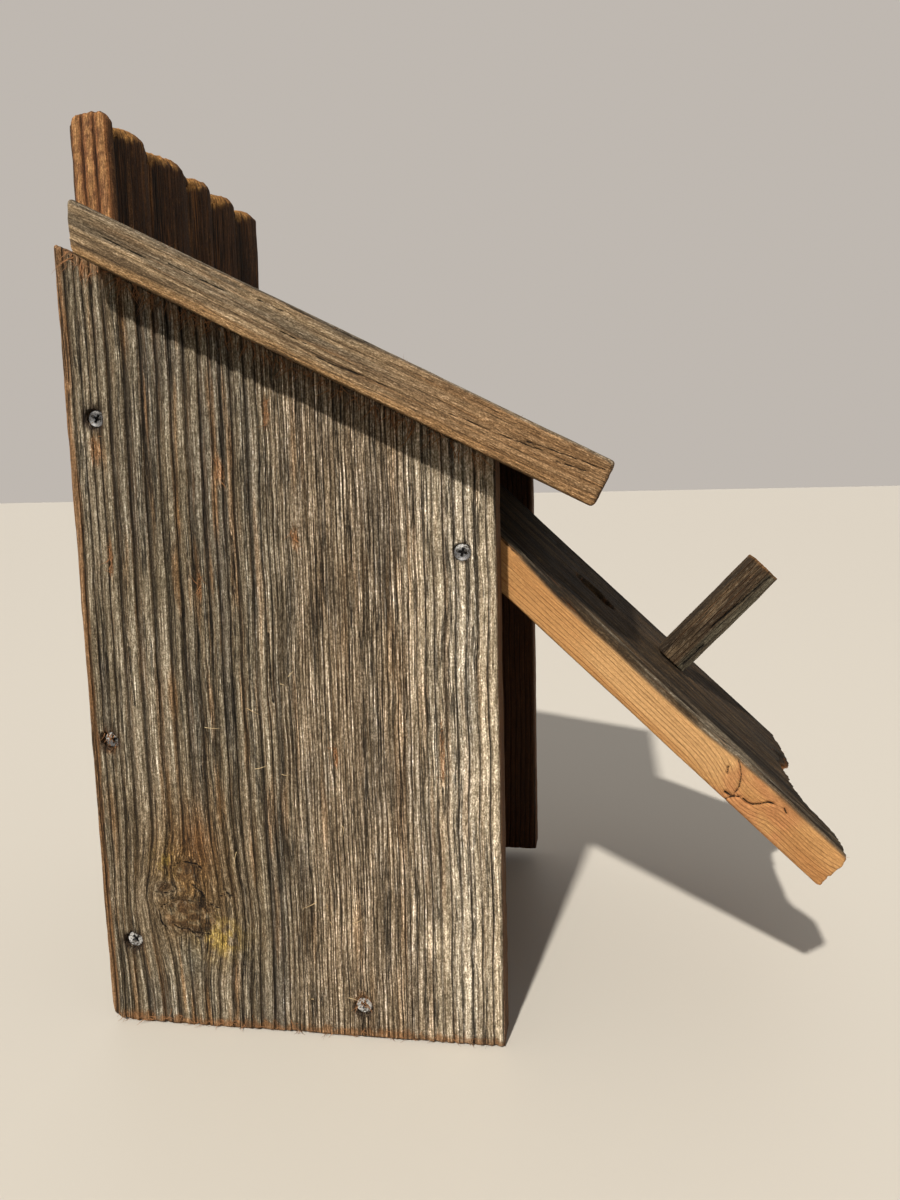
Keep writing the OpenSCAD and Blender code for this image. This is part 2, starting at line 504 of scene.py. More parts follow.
def board(name, node, body, size, steps, arris, grain, relief, shape, paint, place, material, cuts=()):
    """A worn board: a rounded box lattice, its relief pressed in, cut, painted and put in its place.

    It stands for a CAD node, which it hides, and wears the given material.
    """
    points, quads = lattice(*[spaced(length, step, arris * 1.6) for length, step in zip(size, steps)])
    a, l, t = points.T
    radius = arris * (0.6 + fractal(grain.seed + 20, a / 17, l / 23, t / 15))
    p, n = rounded(points, size, radius)
    q = shape(p)
    s, ring, core, reach = grain.read(q)
    q = q - n * relief(q, n, s, ring, reach, grain)[:, None]
    obj = make_mesh(name, q, quads, material)
    if cuts:
        cut(obj, cuts)
    final = coords(obj)
    s, ring, core, reach = grain.read(final)
    zero = np.zeros(len(final))
    values = {"across": s, "along": final[:, 1], "through": final[:, 2], "ring": ring, "bare": zero,
              "crack": zero + 1, "split": zero + 4, "thread": zero + 0.5, "lines": 1 - 0.85 * core}
    values.update(paint(final, s, ring, core, reach, grain))
    dress(obj, values)
    slot = material.name.split(".")[0]      # without the number that Blender adds to a second such name
    finish_piece(settle(obj, place), body, slot, node)


def rigid(axes, origin):
    """Matrix that carries board coordinates to the frame: three axis directions and the origin, in mm."""
    m = Matrix([tuple(axis) for axis in axes]).transposed().to_4x4()
    m.translation = [c * MM for c in origin]
    return m


def finish_piece(obj, body, slot, *nodes):
    """Says which body a piece rides on and hides the CAD nodes it stands for; slot, the finish it would take,
    is not used.
    """
    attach(obj, body)
    if nodes:
        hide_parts(*nodes)


FIBRE_STEPS = 5  # points along a fibre
FIBRE_CURL = 0.3


def tufts(name, count, where, direction, length, width, seed, material, place, spread=0.5, low=-1e3):
    """Torn fibres: thin curved closed slivers in board coordinates, none lower than low.

    where(rng) gives a root point and direction(rng) the way a fibre points.
    """
    rng = np.random.default_rng(seed)
    last = 3 * FIBRE_STEPS - 1
    faces = [(0, 1, 2), (last, last - 1, last - 2)]
    for k in range(FIBRE_STEPS - 1):
        for j in range(3):
            b, n = 3 * k + j, 3 * k + (j + 1) % 3
            faces.append((b, b + 3, n + 3, n))
    parts, tones = [], []
    for _ in range(count):
        root = np.array(where(rng), float)
        d = np.array(direction(rng), float)
        d = d + spread * rng.normal(size=3) * [1, 1, 0.35]
        d = d / np.linalg.norm(d)
        side = np.cross(d, [0, 0, 1.0])
        side = side / max(np.linalg.norm(side), 1e-6)
        lift = np.cross(side, d)
        size = length * rng.uniform(0.35, 1.0)
        bend = FIBRE_CURL * rng.normal(size=2)
        pts = []
        for k in range(FIBRE_STEPS):
            f = k / (FIBRE_STEPS - 1)
            w = width * (1 - 0.85 * f) * rng.uniform(0.8, 1.2)
            c = root + d * size * f + (side * bend[0] + lift * bend[1]) * size * f * f
            c[1] = max(c[1], low)
            pts += [c + side * w, c - side * w, c + lift * w * 0.6]
        pts = np.array(pts)
        parts.append((pts, outward(pts, faces)))
        tones += [rng.uniform(0, 40)] * len(pts)
    obj = make_mesh(name, *joined(parts), material, False)
    dress(obj, {"across": np.array(tones)})
    return settle(obj, place)


# ---- sizes from the CAD
side_lo, side_hi = mm_box("left_side")
back_lo, back_hi = mm_box("back_board")
floor_lo, floor_hi = mm_box("floor_board")
roof_lo, roof_hi = mm_box("roof_board")
DEPTH = side_hi[1] - side_lo[1]
REAR_H = side_hi[2]
BOARD_T = side_hi[0] - side_lo[0]
REAR_Y = side_hi[1]
FRONT_Y = side_lo[1]
OUTER_X = -side_lo[0]
ROOF_X = roof_hi[0]
PIVOT = np.array(frame["joints"][0]["pos_m"]) / MM
DOOR_W = 205.0
DOOR_L = 280.0
DOOR_TOP = PIVOT[2] + 40.0
PERCH_W = 19.0
PERCH_L = 76.0
PERCH_Z = PIVOT[2] - 128.0
ENTRANCE_Z = PIVOT[2] - 68.0
ENTRANCE_R = 16.0
SWING = (Matrix.Translation(Vector(PIVOT * MM)) @ Matrix.Rotation(-OPEN, 4, "X")
         @ Matrix.Translation(-Vector(PIVOT * MM)))


def under(d):
    """Height of the roof's underside at a distance d forward of the rear edge."""
    return REAR_H - d * math.tan(SLOPE)


# ---- the two sides
BACK_SCREWS = [(14.5, 318.0), (10.0, 155.0), (15.0, 46.0)]
FLOOR_SCREW = (139.0, 17.0)
PIVOT_SCREW = (REAR_Y - PIVOT[1], PIVOT[2])
SCREW_DEPTHS = [3.5, 4.2, 3.0, 2.6]  # how much deeper than the CAD's the heads sit in the worn face
PIVOT_DEPTH = 1.3
PIT_SHADE_RADII = [7.0, 7.2, 6.6, 6.4, 5.4]  # radius of the painted shade round each head's torn pit
CORNER_R = 11.0  # of the lower rear corner
# Widths of the growth rings, and heights of the ridges, across a side
SIDE_WIDTHS = [
    (-60, 6), (0, 5.4), (40, 6.0), (90, 5.2), (106, 3.4), (118, 1.9), (150, 1.5), (164, 1.7),
    (174, 3.4), (186, 4.8), (212, 5.0), (420, 5.0)]
SIDE_RIDGES = [
    (0, 0.9), (8, 2.3), (70, 2.6), (100, 2.0), (116, 0.5), (160, 0.4), (174, 0.8), (190, 1.2),
    (212, 1.1)]
SIDE_THREADS = [(0, 0.75), (90, 0.85), (112, 1.25), (165, 1.25), (185, 0.55), (212, 0.45)]
# Near-side knots: centre, radii and how far the grain bends round them
SIDE_KNOTS = [(47.5, 62.0, 14.0, 10.5, 0.45), (48.0, 86.5, 7.0, 5.0, 0.35), (35.0, 76.5, 5.0, 3.6, 0.3)]
SIDE_SPLITS = [
    [(32, 66), (37, 68.6), (46.6, 70.2), (58.6, 69.3), (65, 66)],
    [(38.5, 55.7), (42, 54.2), (45.5, 54.6), (49, 52.4), (52.6, 52.8), (58.6, 51.6)],
    [(39.6, 88.2), (43, 90.2), (46.4, 91), (52.3, 90.2), (56.5, 87.6)],
    [(62, 73), (66, 73.4), (68.8, 75.6), (70.8, 73.2), (73.2, 77.3)],
    [(30, 74), (33, 73.2), (37, 74), (40, 75.2)],
    [(50, 79), (55, 75), (56, 71.5)],
    [(31, 62), (31.5, 58), (34.5, 54)],
    [(82, 262), (82.6, 244), (82.2, 232)],
    [(98, 212), (98.4, 190), (99, 176)],
    [(24, 205), (24.5, 188), (25.5, 172)],
]
# Torn spots: place, size across, size along
SIDE_TEARS = [
    (77.8, 291, 3.0, 9.0), (114, 258, 2.5, 6.0), (102.7, 318, 2.0, 8.0), (14.7, 303, 4.0, 9.0),
    (183.6, 153, 1.6, 20.0), (10, 155, 5.5, 6.5), (139, 20, 6.0, 5.0), (18, 250, 1.6, 12.0),
    (130, 150, 1.6, 7.0), (64, 236, 1.5, 8.0)]
# Spacing of the mesh's lines across and along a side, up to each place
SIDE_COLUMNS = [(100, 0.82), (DEPTH, 0.62)]
SIDE_ROWS = [(10, 1.4), (48, 4.4), (96, 1.4), (REAR_H, 4.4)]
RIGHT_FOOT = mm_box("right_side")[0][2]
RIGHT_KNOTS = [(150, 250, 11, 13, 0.5)]
RIGHT_TEARS = [(60, 240, 3.0, 8.0), (150, 120, 2.5, 7.0), (14.5, 305, 4.0, 8.0)]
RIGHT_SPLITS = [
    [(70, 300), (70.6, 260), (71.5, 236)], [(120, 150), (120.4, 120), (121, 96)],
    [(141, 250), (150, 256), (159, 251)]]


class Side(Grain):
    """Grain and wear of a side whose lower edge is foot above the base."""

    def __init__(self, seed, foot, knots, tears, splits):
        super().__init__(seed, SIDE_WIDTHS, knots)
        self.foot = foot
        self.tears = tears
        self.splits = splits

    def shape(self, p):
        """A box's points with its top cut to the roof's slope and its lower rear corner worn round."""
        q = p.copy()
        off = np.maximum(CORNER_R - p[:, :2], 0)
        reach = np.maximum(np.hypot(*off.T), 1e-6)
        pull = np.where(off.min(1) > 0, np.minimum(1, CORNER_R / reach), 1)
        q[:, :2] = np.where(off > 0, CORNER_R - off * pull[:, None], p[:, :2])
        q[:, 1] = self.foot + q[:, 1] * (REAR_H - p[:, 0] * math.tan(SLOPE) - self.foot) / REAR_H
        return q

    def torn(self, a, l):
        """Mask of the torn spots."""
        total = np.zeros_like(a)
        rag = 0.5 * fractal(self.seed + 37, a / 1.5, l / 4)
        for ta, tl, wa, wl in self.tears:
            r = ((a - ta) / wa) ** 2 + ((l - tl) / wl) ** 2
            total = np.maximum(total, 1 - smooth(np.sqrt(r) + rag, 0.7, 1.3))
        return total


def profile_at(a, pairs):
    return np.interp(a, *np.array(pairs, float).T)


def side_relief(q, n, s, ring, reach, side):
    a, l, t = q.T
    seed = side.seed
    per_ring = 0.5 + 0.95 * noise(seed + 30, np.floor(ring) * 0.37, l / 120)
    calm = 1 - 0.8 * np.exp(-(reach / 2.0) ** 2)
    deep = profile_at(a, SIDE_RIDGES) * per_ring * ridge(skewed(ring), 0.6) * calm
    rough = 0.3 * fractal(seed + 31, s / 1.3, l / 12)
    worn = 0.7 * noise(seed + 32, a / 45, l / 90) + 1.4 * (1 - calm) * fractal(seed + 36, a / 6, l / 5)
    cracks = gouge(line_distance(a, l, side.splits), 1.1, 0.7)
    outer = deep + rough + worn + cracks + 1.0 * side.torn(a, l)
    inner = 0.25 * ridge(ring) + 0.5 * rough
    edges = 0.2 * rough + 0.6 * fractal(seed + 34, l / 9, t / 5)
    return by_face(n, outer, inner, edges, 1.7 * fractal(seed + 35, a / 2.2, t / 3.0))


def knot_coats(a, l, seed):
    """Colours round the near side's knots: brown, a flame above them, ash grey and lichen."""
    ashen = glow(a, l, (48, 38), (7, 10)) + glow(a, l, (35, 76), (5, 4))
    lichen = glow(a, l, (65, 50), (12, 11)) + glow(a, l, (36, 92), (6, 6))
    growth = smooth(fractal(seed + 42, a / 3, l / 3), 0.35, 0.6)
    return [
        ((108, 83, 48), glow(a, l, (48, 86), (30, 40)) * 0.95),
        ((124, 82, 46), glow(a, l, (54, 102), (9, 16)) * 0.5),
        ((132, 128, 114), np.clip(ashen, 0, 1) * 0.6),
        ((166, 140, 66), np.clip(lichen, 0, 1) * growth * 0.75)]


def screw_pit_shade(a, l, seed):
    """Painted shade round the screws, in the torn pits they sit in."""
    wobble = 2.4 * (fractal(seed + 49, a / 2, l / 3) - 0.5)
    return [((52, 38, 28), (1 - smooth(np.hypot(a - sa, l - sl) + wobble, rim - 1.4, rim)) * 0.85)
            for (sa, sl), rim in zip(BACK_SCREWS + [FLOOR_SCREW, PIVOT_SCREW], PIT_SHADE_RADII)]


def weathered(a, l, s, ring, core, calm, side):
    """Colour of a side's outer face: zones across it, ridges with painted shade on their groove sides and a
    painted highlight near their crests, stains, knots, and painted shade round the screws.
    """
    seed = side.seed
    strip = noise(seed + 46, np.floor(ring) * 0.61, l / 90)
    up = skewed(ring) - np.floor(ring)
    broad = 1 - band(a, 108, 172, 8)
    blue = smooth(fractal(seed + 40, s / 7, l / 45), 0.52, 0.7) * band(a, 95, 185, 15)
    ochre = smooth(fractal(seed + 41, s / 4, l / 60), 0.6, 0.78)
    lump = fractal(seed + 48, a / 4, l / 3.2)
    return layered(
        (113, 101, 81), ((144, 127, 104), smooth(a, 85, 125)),
        ((198, 182, 157), smooth(a, 160, 182)),
        ((222, 212, 194), band(s, 190, 199, 4) * 0.4),
        ((150, 138, 118), smooth(strip, 0.5, 0.85) * (0.3 + 0.3 * broad) * (1 - core)),
        ((84, 80, 74), smooth(1 - strip, 0.62, 0.9) * (0.25 + 0.3 * broad) * (1 - core)),
        # painted shade on the groove side of each ridge, then a painted highlight near its crest
        ((52, 48, 42), (1 - smooth(up, 0.04, 0.26)) * 0.5 * broad * calm),
        ((172, 162, 142), band(up, 0.45, 0.66, 0.14) * 0.3 * broad * calm),
        ((88, 88, 86), blue * 0.22),
        ((146, 108, 66), ochre * (0.6 - 0.3 * smooth(a, 60, 110))),
        *(knot_coats(a, l, seed) if len(side.knots) > 1 else []),
        ((96, 72, 43), core * 0.85),
        ((60, 44, 27), core * smooth(lump, 0.42, 0.62) * 0.7),
        ((138, 128, 104), core * smooth(1 - lump, 0.55, 0.7) * 0.5),
        # painted shade round the screws
        *screw_pit_shade(a, l, seed),
        ((160, 114, 70), side.torn(a, l) * 0.6))


def side_paint(p, s, ring, core, reach, side):
    a, l, t = p.T
    seed, foot = side.seed, side.foot
    inland = smooth(np.minimum(a, DEPTH - a), 1.5, 4.0) * smooth(l - foot, 1.5, 4.0)
    face = 1 - smooth(t - 4.5 * inland, 1.2, 4.0)
    calm = 1 - np.exp(-(reach / 2.0) ** 2)
    arris = 1 - smooth(a + 1.5 * noise(seed + 43, l / 12), 4.2, 5.6)
    low = 1 - smooth(l - foot - 7 * fractal(seed + 44, a / 2.2, l / 9) ** 1.6, 0.8, 3.4)
    top = 1 - smooth(REAR_H - a * math.tan(SLOPE) - l - 10 * fractal(seed + 47, a / 4), 1.0, 5.0)
    fresh = np.clip(arris + low + (0.35 + 0.5 * (a < 26)) * top, 0, 1)
    outer = layered(
        weathered(a, l, s, ring, core, calm, side), ((140, 102, 66), fresh * 0.8),
        ((112, 74, 42), smooth(a, DEPTH - 1.2, DEPTH - 0.3) * 0.8))
    tone = layered(
        (92, 60, 34), ((116, 80, 46), fractal(seed + 45, l / 30, t / 4)),
        ((70, 44, 24), smooth(t, 18, 21)), (outer, np.clip(face + arris * 0.8, 0, 1)))
    sound = 1 - 0.85 * core
    return {
        "tone": tone, "bare": np.clip(0.6 * fresh + (1 - face), 0, 1), "crack": face,
        "split": 0.9 * line_distance(a, l, side.splits) + 4 * (1 - face),
        "thread": profile_at(a, SIDE_THREADS) * (1 - 0.8 * core),
        "lines": (0.15 + 0.85 * calm) * sound, "ring": skewed(ring)}


def head_root(r):
    """A point just below the sloping top of a side."""
    a = r.uniform(6, 206)
    return a, REAR_H - a * math.tan(SLOPE) - r.uniform(0.8, 4.0), r.uniform(0.8, 1.6)


def make_side(node, sign, seed, foot, knots, tears, splits):
    """Left (-1) or right (1) side, grain upright, weathered on the outside."""
    side = Side(seed, foot, knots, tears, splits)
    cuts = [hole_at(a, l, seed + k, SINK + deep, 5.1)
            for k, ((a, l), deep) in enumerate(zip(BACK_SCREWS + [FLOOR_SCREW], SCREW_DEPTHS))]
    cuts.append(hole_at(*PIVOT_SCREW, seed + 9, SINK + PIVOT_DEPTH, 4.7, 2.4))
    place = rigid([(0, -1, 0), (0, 0, 1), (-sign, 0, 0)], (sign * OUTER_X, REAR_Y, 0))
    board(node + "_wood", node, "box", (DEPTH, REAR_H, BOARD_T), (SIDE_COLUMNS, SIDE_ROWS, 2.4), 1.6, side,
          side_relief, side.shape, side_paint, place, side_material, cuts)

    def fringe(name, count, where, direction, length, width, offset, material=torn_material):
        piece = tufts(f"{node}_{name}", count, where, direction, length, width, seed + offset, material,
                      place, low=foot + 0.6)
        finish_piece(piece, "box", "side_wood")

    fringe("fibres_foot", 300, lambda r: (r.uniform(5, 209), foot + r.uniform(1.6, 5.0), r.uniform(0.8, 3.0)),
           lambda r: (r.choice([-1, 1]) * 0.9, r.uniform(-0.5, 0.7), -0.3), 6.5, 0.24, 60)
    fringe("fibres_head", 260, head_root, lambda r: (r.uniform(-0.7, 0.7), -1.0, -0.3), 12.0, 0.26, 61)
    for k, (ta, tl, wa, wl) in enumerate(tears):
        fringe(f"fibres_tear_{k + 1}", 16,
               lambda r: (ta + wa * r.uniform(-0.6, 0.6), tl + wl * r.uniform(-0.7, 0.7), 1.3),
               lambda r: (r.uniform(-0.5, 0.5), r.choice([-1, 1]), -0.35), 5.5, 0.22, 62 + k)
    fringe("straws", 16, lambda r: (r.uniform(60, 150), r.uniform(10, 190), 0.6),
           lambda r: (r.uniform(-1, 1), r.uniform(-1, 1), -0.12), 9.0, 0.17, 80, straw_material)


side_material = wood("side_wood", warm=0.15, bump=1.0)
torn_material = fibre_wood("torn_fibres", (152, 106, 66), (106, 74, 46))
straw_material = fibre_wood("straw", (214, 192, 150), (190, 160, 116))
make_side("left_side", -1, 11, 0.0, SIDE_KNOTS, SIDE_TEARS, SIDE_SPLITS)
make_side("right_side", 1, 57, RIGHT_FOOT, RIGHT_KNOTS, RIGHT_TEARS, RIGHT_SPLITS)


# ---- back board
RIB_ENDS = np.array([0.0, 8, 48, 98, 133, 173, back_hi[0] - back_lo[0]])
LAST_RIB = len(RIB_ENDS) - 2
RIB_CREST = 0.72  # place of a rib's crest across it
CREST_SPARE = 3.0  # wood added at the top, which the wear mostly takes off again
BACK_H = back_hi[2] + CREST_SPARE
STRIPE = 6.6  # width of the stripes down its edges, and where they lie
STRIPE_AT = 0.82


def rib_at(a):
    """Which rib each point is on, and its place across the rib, from 0 to 1."""
    k = np.clip(np.searchsorted(RIB_ENDS, a) - 1, 0, LAST_RIB)
    return k, (a - RIB_ENDS[k]) / (RIB_ENDS[k + 1] - RIB_ENDS[k])


def rib(a):
    """Worn depth over each rib, 0 on its crest and 1 in the groove; each rises slowly and falls steeply."""
    k, u = rib_at(a)
    u = np.where((k == LAST_RIB) & (u > RIB_CREST), RIB_CREST, u)
    rise = np.clip(1 - u / RIB_CREST, 0, 1) ** 1.4 * (k > 0)
    return rise + np.clip((u - RIB_CREST) / (1 - RIB_CREST), 0, 1) ** 1.8


def back_shape(p):
    q = p.copy()
    a, l, t = p.T
    front = 1 - smooth(t, 2, 21)
    drop = 5.6 * rib(a) * (0.3 + 0.7 * front) + 1.5 * fractal(70, a / 6, t / 6)
    drop = drop + 2.2 * (1 - smooth(t, 0, 7)) ** 2 + 3.4 * smooth(t, 15, 22) ** 2
    q[:, 1] = l - drop * smooth(l, BACK_H - 50, BACK_H)
    return q


def back_relief(q, n, s, ring, *_):
    a, l, t = q.T
    lines = 0.5 * ridge(ring) + 0.35 * fractal(71, s / 1.2, l / 14)
    edge = 0.7 * ridge(t / STRIPE + STRIPE_AT) + 0.9 * fractal(74, t / 1.5, l / 3)
    edge = edge + 0.4 * fractal(75, l / 9, t / 6)
    top = 1.6 * fractal(72, a / 2.5, t / 2.5) * (n[:, 1] > 0)
    return by_face(n, 3.9 * rib(a) + lines, lines, edge, top)


def back_paint(p, s, ring, *_):
    a, l, t = p.T
    k, across = rib_at(a)
    # high marks a painted patch of light on the top of each rib
    low_end = BACK_H - 20 + 13 * across + 9 * fractal(77, a / 3, t / 9)
    high = smooth(l, low_end, low_end + 5) * (1 - smooth(across, 0.5, 0.75) * (t < 4))
    high = high * (1 - smooth(t, 14, 20))
    edge = 1 - smooth(np.minimum(a, RIB_ENDS[-1] - a), 1.4, 3.2)
    blotch = fractal(76, t / 1.3, l / 3)
    stripe = np.abs(np.sin(math.pi * (t / STRIPE + STRIPE_AT))) + 0.3 * fractal(78, t / 1.3, l / 3) - 0.15
    brown = layered(
        (142, 96, 60), ((204, 156, 104), smooth(stripe, 0.45, 0.95) * 0.7),
        ((100, 62, 44), smooth(blotch, 0.48, 0.64) * 0.7))
    end = smooth(l, BACK_H - 7, BACK_H - 3)
    # the near black in the ribs' grooves is painted shade, and the golden patch on the ribs' tops is painted
    # light
    tone = layered(
        (66, 42, 23), ((28, 16, 8), smooth(rib(a), 0.2, 0.9)),
        ((128, 90, 54), smooth(fractal(73, s / 5, l / 60), 0.55, 0.8) * 0.5),
        ((206, 152, 84), high * (k > 0) * 0.85), (brown, edge * 0.95),
        ((120, 104, 84), smooth(t, 20, 22) * 0.8), ((150, 104, 62), end * 0.5))
    on_edge = edge > 0.5
    return {"tone": tone, "bare": 0.4 + 0 * a, "ring": np.where(on_edge, t / STRIPE + STRIPE_AT, ring),
            "across": np.where(on_edge, t, s), "crack": 0.6 * (1 - end)}


back_wood = wood(
    "back_wood", groove=0.7, warm=0.4, pale=0.12, dark=(26, 16, 9), warm_tint=(150, 100, 56),
    pale_tint=(172, 140, 100))
board(
    "back_board_wood", "back_board", "box", (RIB_ENDS[-1], BACK_H, BOARD_T),
    (1.25, [(BACK_H - 30, 4.0), (BACK_H, 1.6)], 1.0), 3.0,
    Grain(31, [(-60, 4), (0, 3.4), (60, 5), (150, 4), (208, 3), (420, 3)], tilt=0.9), back_relief,
    back_shape, back_paint, rigid([(1, 0, 0), (0, 0, 1), (0, 1, 0)], back_lo * [1, 1, 0]), back_wood)


# ---- floor board
def as_it_is(p):
    return p


def floor_relief(q, n, s, ring, *_):
    return 0.4 * ridge(ring) + 0.3 * fractal(88, s / 1.5, q[:, 1] / 20)


def floor_paint(p, s, *_):
    tone = layered((120, 88, 56), ((92, 70, 48), fractal(81, p[:, 0] / 30, p[:, 1] / 50)))
    return {"tone": tone, "bare": 0.6 + 0 * s}


floor_wood = wood("floor_wood", groove=0.6, fibre=0.8, warm=0.3, pale=0.1, dark=(48, 32, 20))
board(
    "floor_board_wood", "floor_board", "box",
    (floor_hi[1] - floor_lo[1], floor_hi[0] - floor_lo[0], floor_hi[2]), (1.2, 4.0, 2.0), 1.2,
    Grain(83, [(-60, 5), (0, 4), (90, 6), (180, 4), (420, 4)]), floor_relief, as_it_is, floor_paint,
    rigid([(0, 1, 0), (1, 0, 0), (0, 0, -1)], (floor_lo[0], floor_lo[1], floor_hi[2])), floor_wood)


# ---- roof
ROOF_CUT = math.tan(SLOPE)
ROOF_L = (REAR_Y - BOARD_T - roof_lo[1]) / math.cos(SLOPE)
ROOF_W = 2 * ROOF_X
ROOF_SCREWS = [58.0, 168.0]
ROOF_TOP = Vector((0, REAR_Y - BOARD_T, under(BOARD_T) + BOARD_T / math.cos(SLOPE)))
ROOF_SPLITS = [
    [(134, 15.8), (150, 15.0), (172, 13.4)], [(196, 12.6), (228, 10.8), (250, 9.0)],
    [(236, 8.7), (256, 6.6), (272, 5.1)], [(112, 12.2), (131, 12.6)], [(250, 10.9), (266, 9.2)],
    [(56, 7.4), (86, 7.2)], [(18, 9.2), (46, 9.6)], [(92, 4.6), (118, 4.0)],
]


def roof_shape(p):
    q = p.copy()
    start = p[:, 2] * ROOF_CUT
    q[:, 1] = start + p[:, 1] * (ROOF_L - start) / ROOF_L
    return q


def roof_relief(q, n, s, ring, *_):
    a, l, t = q.T
    lines = 1.0 * ridge(ring) + 0.35 * fractal(91, s / 1.3, l / 14)
    side = 0.5 * fractal(92, l / 9, t / 1.1) + 0.9 * smooth(fractal(93, l / 30, t / 7), 0.6, 0.9)
    side = side + gouge(line_distance(l, t, ROOF_SPLITS), 1.0, 0.6) + 0.5 * fractal(90, l / 60)
    ends = 0.5 * ridge(ring) + 0.8 * fractal(94, a / 3, t / 3)
    return by_face(n, lines, 0.3 * ridge(ring), side, ends)


def roof_paint(p, s, ring, *_):
    a, l, t = p.T
    edge = 1 - smooth(np.minimum(a, ROOF_W - a), 1.4, 2.8)
    strip = noise(89, np.floor(ring) * 0.61, l / 120)
    grey = band(l, 10, 205, 45) * band(t, 2.0, 9.5, 3.5) * smooth(fractal(97, l / 35, t / 3), 0.3, 0.6)
    side = layered(
        (162, 140, 110), ((104, 86, 64), smooth(fractal(96, l / 35, t / 1.3), 0.4, 0.62)),
        ((118, 106, 88), grey * 0.75),
        ((182, 144, 98), smooth(t - 1.2 * noise(88, l / 9), 16.0, 19.0) * 0.7),
        ((150, 114, 76), smooth(l, 130, 240) * 0.7))
    tone = layered(
        (126, 114, 96), ((100, 92, 80), fractal(95, s / 20, l / 90)),
        ((150, 134, 108), smooth(strip, 0.5, 0.9) * 0.5), ((84, 60, 38), smooth(t, 6, 21)),
        (side, edge), ((112, 80, 50), smooth(l, ROOF_L - 2.0, ROOF_L - 0.6) * 0.7))
    on_edge = edge > 0.5
    drift = t + 0.012 * l  # the grain of the edges runs a little aslant
    return {
        "tone": tone, "bare": 0.3 * edge, "crack": 1 - 0.7 * edge,
        "ring": np.where(on_edge, drift / 4.3 + 1.1 * noise(98, l / 60), ring),
        "across": np.where(on_edge, drift + 0.6 * noise(99, l / 60), s),
        "split": np.where(on_edge, 1.35 * line_distance(l, t, ROOF_SPLITS), 4.0),
        "thread": 0.5 - 0.25 * edge, "lines": 1 - 0.45 * edge}


def roof_cut(sign, back):
    """Screw hole in the roof over a side, from the top face."""
    return sign * (OUTER_X - BOARD_T / 2) + ROOF_X, (back - BOARD_T) / math.cos(SLOPE) + BOARD_T * ROOF_CUT


roof_holes = [roof_cut(sign, back) for sign in (-1, 1) for back in ROOF_SCREWS]
c, s = math.cos(SLOPE), math.sin(SLOPE)
roof_frame = rigid([(1, 0, 0), (0, -c, -s), (0, s, -c)], (-ROOF_X, ROOF_TOP[1], ROOF_TOP[2]))
roof_wood = wood("roof_wood", groove=0.75, warm=0.2, pale=0.2, dark=(48, 36, 25), warm_tint=(160, 116, 72))
board(
    "roof_board_wood", "roof_board", "box", (ROOF_W, ROOF_L, BOARD_T), (1.2, 3.0, 0.75), 2.2,
    Grain(35, [(-60, 7), (0, 6), (80, 5), (150, 9), (220, 5), (300, 6), (420, 6)], [(215, 120, 13, 16, 0.5)]),
    roof_relief, roof_shape, roof_paint, roof_frame, roof_wood,
    [hole_at(a, l, 100 + k) for k, (a, l) in enumerate(roof_holes)])
roof_bits = tufts(
    "roof_fibres", 26, lambda r: (r.uniform(0.6, 1.6), r.uniform(20, 268), r.uniform(0.5, 1.4)),
    lambda r: (-0.2, r.choice([-1, 1]), -0.35), 3.6, 0.17, 104, torn_material, roof_frame)
finish_piece(roof_bits, "box", "roof_wood")


# ---- door
DOOR_ENTRANCE = (DOOR_W / 2, DOOR_TOP - ENTRANCE_Z)
DOOR_PERCH = (DOOR_W / 2, DOOR_TOP - PERCH_Z)
# Splits in the near edge, along the door and through its thickness
DOOR_SPLITS = [
    [(199, 1.0), (204, 1.8), (208.5, 4.0), (213, 7.5), (216.4, 12.5), (217.4, 18), (216, 22.4)],
    [(213, 19.0), (217, 18.2), (220, 15.8)], [(205.5, 8.6), (207.5, 11.4)],
    [(222, 15.5), (227, 14.6), (230.5, 9.5), (233.5, 7.0)], [(239, 5.2), (242, 6.6)],
    [(92, 3.0), (104, 4.2)], [(40, 2.2), (62, 2.6)],
]
SWIRL_L = 221.0  # place along the edge where the grain dives round a knot


def broken(a, t):
    """How far the door's lower end is broken back."""
    middle = band(a, 40, 128, 18) * (14 + 9 * noise(111, a / 24))
    jag = (1.5 + 1.3 * smooth(a, 12, 40)) * fractal(112, a / 3.2, t / 2.0)
    jag = jag + 2.4 * smooth(noise(113, a / 5, t / 5), 0.45, 0.9)
    corner = 3.0 * (1 - smooth(t, 0, 6)) ** 2
    return middle * (1 - smooth(t, 0, 20)) + jag + corner


def door_shape(p):
    q = p.copy()
    a, l, t = p.T
    q[:, 1] = l - broken(a, t) * smooth(l, DOOR_L - 46, DOOR_L)
    return q


def wane(a, l):
    """Depth to which the near front arris is worn off, along the door."""
    reach = 5 + 12 * band(l, 95, 175, 45)
    deep = 0.8 + 2.6 * band(l, 95, 175, 50) + 0.6 * noise(123, l / 18)
    return deep * np.clip(1 - a / reach, 0, 1) ** 1.6


def edge_grain(l, t):
    """Across coordinate on the door's near edge."""
    dive = np.exp(-((l - SWIRL_L) / 19) ** 2)
    below = np.clip((l - 238) / 44, 0, 1)
    return t - 8.5 * dive - 4 * below * (1 - below) * 3.0 + 1.2 * dive * fractal(124, l / 9, t / 5)


def door_relief(q, n, s, ring, *_):
    a, l, t = q.T
    outer = 1.1 * ridge(ring) + 0.4 * fractal(114, s / 1.4, l / 14) + wane(a, l)
    inner = 0.2 * ridge(ring) + 0.2 * fractal(115, s / 2, l / 30)
    side = 0.25 * fractal(116, l / 16, t / 1.2) + gouge(line_distance(l, t, DOOR_SPLITS), 1.4, 0.7) * (a < 30)
    return by_face(n, outer, inner, side, 3.2 * fractal(117, a / 1.6, t / 1.4))


